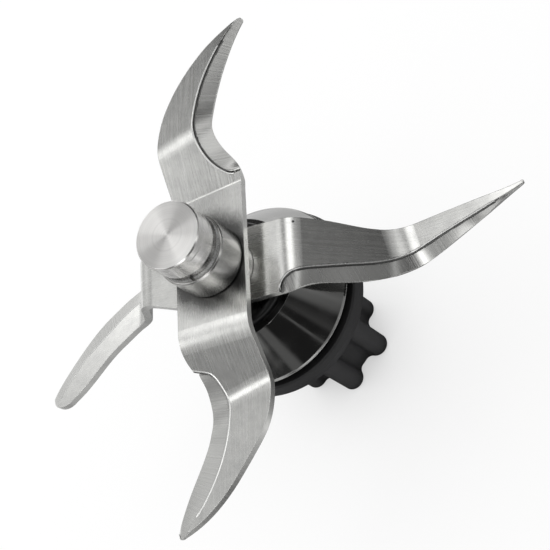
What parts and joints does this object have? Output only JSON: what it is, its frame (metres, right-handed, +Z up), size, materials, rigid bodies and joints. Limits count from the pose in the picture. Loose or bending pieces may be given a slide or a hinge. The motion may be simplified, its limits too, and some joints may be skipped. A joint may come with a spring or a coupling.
{
  "type": "blender blade assembly",
  "caption": "Jug blender knife: bent, ground steel blades crossed on a capped spindle, running in a conical steel bell with a rubber flange ring and a lobed drive coupling below.",
  "frame": {"origin": "centre of the drive coupling's lower face, on the spindle axis", "axes": "+Z up along the spindle towards the cap nut, +Y along the upper blade's rising arm, +X along the lower blade's long arm"},
  "size_m": [0.1452, 0.1307, 0.0964],
  "materials": {
    "blade_steel": "fine lengthwise brushing",
    "turned_steel": "turned, ring marks",
    "spring_steel": "plain bright steel",
    "polished_steel": "mirror polish",
    "bronze": "sintered, oiled",
    "gasket_rubber": "matt",
    "seal_rubber": "matt",
    "coupling_plastic": "satin moulded",
    "carrier_plastic": "satin moulded",
    "felt": "felt"
  },
  "bodies": {
    "housing": {"bell_housing": "polished_steel", "shaft_seal": "seal_rubber", "bearing_carrier": "carrier_plastic", "upper_bush": "bronze", "oil_wick": "felt", "lower_bush": "bronze", "circlip": "spring_steel", "flange_gasket": "gasket_rubber"},
    "spindle": {"cap_nut": "turned_steel", "lock_ring": "spring_steel", "clamp_sleeve": "turned_steel", "upper_blade": "blade_steel", "blade_spacer": "turned_steel", "lower_blade": "blade_steel", "blade_washer": "turned_steel", "spindle_shaft": "turned_steel", "shoulder_washer": "bronze", "foot_spacer": "turned_steel", "drive_coupling": "coupling_plastic", "coupling_insert": "turned_steel", "coupling_washer": "spring_steel", "coupling_screw": "spring_steel"}
  },
  "joints": [
    {"name": "spindle_turn", "type": "hinge", "parent": "housing", "child": "spindle", "pos_m": [0, 0, 0.05], "axis": [0, 0, 1], "continuous": true}
  ]
}
